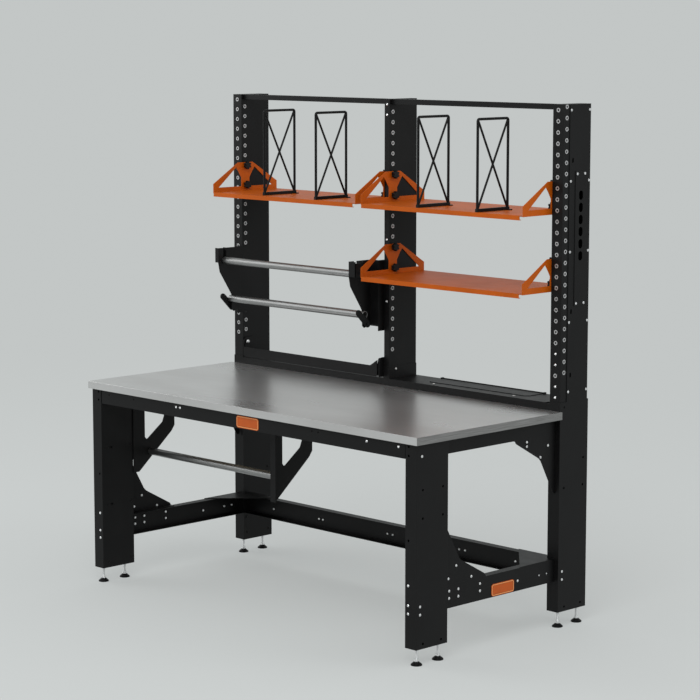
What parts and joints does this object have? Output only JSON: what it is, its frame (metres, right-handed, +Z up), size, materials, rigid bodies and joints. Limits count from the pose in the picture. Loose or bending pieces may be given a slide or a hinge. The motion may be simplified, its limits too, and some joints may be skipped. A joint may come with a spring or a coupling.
{
  "type": "packing table",
  "caption": "Packing table: steel worktop on a black folded frame with levelling feet, perforated uprights, orange shelves with dividers, roll holders, tear-off bar and cable tray.",
  "frame": {"origin": "under the middle of the box, on the floor", "axes": "+X to the right along the worktop, +Y to the rear, +Z up"},
  "size_m": [1.8, 0.954, 1.918],
  "materials": {
    "worktop_steel": "semi-gloss grey sheet with soft reflections",
    "board": "raw pressed board, hidden under the cover",
    "black_paint": "black satin powder coat",
    "orange_paint": "orange semi-gloss powder coat",
    "zinc": "bright zinc plate",
    "tube_steel": "bright drawn tube",
    "black_plastic": "moulded black plastic"
  },
  "bodies": {
    "frame": {"worktop_core": "board", "worktop_cover": "worktop_steel", "leg_front_left": "black_paint", "leg_front_right": "black_paint", "leg_rear_left": "black_paint", "leg_rear_right": "black_paint", "aprons": "black_paint", "side_rails_upper": "black_paint", "side_rails_lower": "black_paint", "rear_rail_lower": "black_paint", "corner_gussets": "black_paint", "under_top_members": "black_paint", "upright_left": "black_paint", "upright_middle": "black_paint", "upright_right": "black_paint", "head_rails": "black_paint", "upright_covers": "black_paint", "cable_slot_plate": "black_paint", "cable_tray": "black_paint", "tear_bar_brackets": "black_paint", "shelf_upper_left": "orange_paint", "shelf_upper_right": "orange_paint", "shelf_lower_right": "orange_paint", "shelf_brackets": "orange_paint", "upper_roll_plates": "black_paint", "lower_roll_plates": "black_paint", "number_plates": "orange_paint", "thread_inserts": "zinc", "bolts": "zinc"},
    "foot_fl_front": {"foot_fl_front": "zinc"},
    "foot_fl_rear": {"foot_fl_rear": "zinc"},
    "foot_fr_front": {"foot_fr_front": "zinc"},
    "foot_fr_rear": {"foot_fr_rear": "zinc"},
    "foot_rl_front": {"foot_rl_front": "zinc"},
    "foot_rl_rear": {"foot_rl_rear": "zinc"},
    "foot_rr_front": {"foot_rr_front": "zinc"},
    "foot_rr_rear": {"foot_rr_rear": "zinc"},
    "upper_roll_tube": {"upper_roll_tube": "tube_steel"},
    "lower_guide_tube": {"lower_guide_tube": "tube_steel"},
    "lower_roll_tube": {"lower_roll_tube": "tube_steel"},
    "latch_left": {"latch_left": "black_paint"},
    "latch_right": {"latch_right": "black_paint"},
    "tear_bar": {"tear_bar": "black_paint"},
    "tray_flap": {"tray_flap": "black_paint"},
    "divider_1": {"divider_1": "black_paint"},
    "divider_2": {"divider_2": "black_paint"},
    "divider_3": {"divider_3": "black_paint"},
    "divider_4": {"divider_4": "black_paint"},
    "star_knob_1": {"star_knob_1": "black_plastic"},
    "star_knob_2": {"star_knob_2": "black_plastic"},
    "star_knob_3": {"star_knob_3": "black_plastic"},
    "star_knob_4": {"star_knob_4": "black_plastic"},
    "star_knob_5": {"star_knob_5": "black_plastic"},
    "star_knob_6": {"star_knob_6": "black_plastic"},
    "star_knob_7": {"star_knob_7": "black_plastic"},
    "star_knob_8": {"star_knob_8": "black_plastic"},
    "star_knob_9": {"star_knob_9": "black_plastic"},
    "star_knob_10": {"star_knob_10": "black_plastic"},
    "star_knob_11": {"star_knob_11": "black_plastic"},
    "star_knob_12": {"star_knob_12": "black_plastic"}
  },
  "joints": [
    {"name": "foot_fl_front_height", "type": "slide", "parent": "frame", "child": "foot_fl_front", "axis": [0, 0, -1], "range_m": [0, 0.03]},
    {"name": "foot_fl_rear_height", "type": "slide", "parent": "frame", "child": "foot_fl_rear", "axis": [0, 0, -1], "range_m": [0, 0.03]},
    {"name": "foot_fr_front_height", "type": "slide", "parent": "frame", "child": "foot_fr_front", "axis": [0, 0, -1], "range_m": [0, 0.03]},
    {"name": "foot_fr_rear_height", "type": "slide", "parent": "frame", "child": "foot_fr_rear", "axis": [0, 0, -1], "range_m": [0, 0.03]},
    {"name": "foot_rl_front_height", "type": "slide", "parent": "frame", "child": "foot_rl_front", "axis": [0, 0, -1], "range_m": [0, 0.03]},
    {"name": "foot_rl_rear_height", "type": "slide", "parent": "frame", "child": "foot_rl_rear", "axis": [0, 0, -1], "range_m": [0, 0.03]},
    {"name": "foot_rr_front_height", "type": "slide", "parent": "frame", "child": "foot_rr_front", "axis": [0, 0, -1], "range_m": [0, 0.03]},
    {"name": "foot_rr_rear_height", "type": "slide", "parent": "frame", "child": "foot_rr_rear", "axis": [0, 0, -1], "range_m": [0, 0.03]},
    {"name": "upper_tube_spin", "type": "hinge", "parent": "frame", "child": "upper_roll_tube", "pos_m": [-0.45, 0.171, 1.247], "axis": [1, 0, 0], "continuous": true},
    {"name": "guide_tube_spin", "type": "hinge", "parent": "frame", "child": "lower_guide_tube", "pos_m": [-0.45, 0.213, 1.086], "axis": [1, 0, 0], "continuous": true},
    {"name": "lower_tube_spin", "type": "hinge", "parent": "frame", "child": "lower_roll_tube", "pos_m": [-0.45, -0.219, 0.503], "axis": [1, 0, 0], "continuous": true},
    {"name": "latch_left_turn", "type": "hinge", "parent": "frame", "child": "latch_left", "pos_m": [-0.827, 0.223, 1.05], "axis": [1, 0, 0], "range_deg": [0, 75]},
    {"name": "latch_right_turn", "type": "hinge", "parent": "frame", "child": "latch_right", "pos_m": [-0.045, 0.223, 1.05], "axis": [1, 0, 0], "range_deg": [0, 75]},
    {"name": "tear_bar_lift", "type": "hinge", "parent": "frame", "child": "tear_bar", "pos_m": [-0.45, 0.304, 0.899], "axis": [-1, 0, 0], "range_deg": [0, 70]},
    {"name": "tray_flap_open", "type": "hinge", "parent": "frame", "child": "tray_flap", "pos_m": [0.4255, 0.4302, 0.8378], "axis": [-1, 0, 0], "range_deg": [0, 100]},
    {"name": "divider_1_slide", "type": "slide", "parent": "frame", "child": "divider_1", "axis": [1, 0, 0], "range_m": [-0.12, 0.12]},
    {"name": "divider_2_slide", "type": "slide", "parent": "frame", "child": "divider_2", "axis": [1, 0, 0], "range_m": [-0.12, 0.12]},
    {"name": "divider_3_slide", "type": "slide", "parent": "frame", "child": "divider_3", "axis": [1, 0, 0], "range_m": [-0.12, 0.12]},
    {"name": "divider_4_slide", "type": "slide", "parent": "frame", "child": "divider_4", "axis": [1, 0, 0], "range_m": [-0.12, 0.12]},
    {"name": "star_knob_1_turn", "type": "hinge", "parent": "frame", "child": "star_knob_1", "pos_m": [-0.8288, 0.304, 1.6291], "axis": [1, 0, 0], "continuous": true},
    {"name": "star_knob_2_turn", "type": "hinge", "parent": "frame", "child": "star_knob_2", "pos_m": [-0.8288, 0.304, 1.5491], "axis": [1, 0, 0], "continuous": true},
    {"name": "star_knob_3_turn", "type": "hinge", "parent": "frame", "child": "star_knob_3", "pos_m": [-0.0205, 0.304, 1.6291], "axis": [1, 0, 0], "continuous": true},
    {"name": "star_knob_4_turn", "type": "hinge", "parent": "frame", "child": "star_knob_4", "pos_m": [-0.0205, 0.304, 1.5491], "axis": [1, 0, 0], "continuous": true},
    {"name": "star_knob_5_turn", "type": "hinge", "parent": "frame", "child": "star_knob_5", "pos_m": [0.0225, 0.304, 1.6291], "axis": [1, 0, 0], "continuous": true},
    {"name": "star_knob_6_turn", "type": "hinge", "parent": "frame", "child": "star_knob_6", "pos_m": [0.0225, 0.304, 1.5491], "axis": [1, 0, 0], "continuous": true},
    {"name": "star_knob_7_turn", "type": "hinge", "parent": "frame", "child": "star_knob_7", "pos_m": [0.8288, 0.304, 1.6291], "axis": [1, 0, 0], "continuous": true},
    {"name": "star_knob_8_turn", "type": "hinge", "parent": "frame", "child": "star_knob_8", "pos_m": [0.8288, 0.304, 1.5491], "axis": [1, 0, 0], "continuous": true},
    {"name": "star_knob_9_turn", "type": "hinge", "parent": "frame", "child": "star_knob_9", "pos_m": [0.0225, 0.304, 1.3491], "axis": [1, 0, 0], "continuous": true},
    {"name": "star_knob_10_turn", "type": "hinge", "parent": "frame", "child": "star_knob_10", "pos_m": [0.0225, 0.304, 1.2691], "axis": [1, 0, 0], "continuous": true},
    {"name": "star_knob_11_turn", "type": "hinge", "parent": "frame", "child": "star_knob_11", "pos_m": [0.8288, 0.304, 1.3491], "axis": [1, 0, 0], "continuous": true},
    {"name": "star_knob_12_turn", "type": "hinge", "parent": "frame", "child": "star_knob_12", "pos_m": [0.8288, 0.304, 1.2691], "axis": [1, 0, 0], "continuous": true}
  ]
}
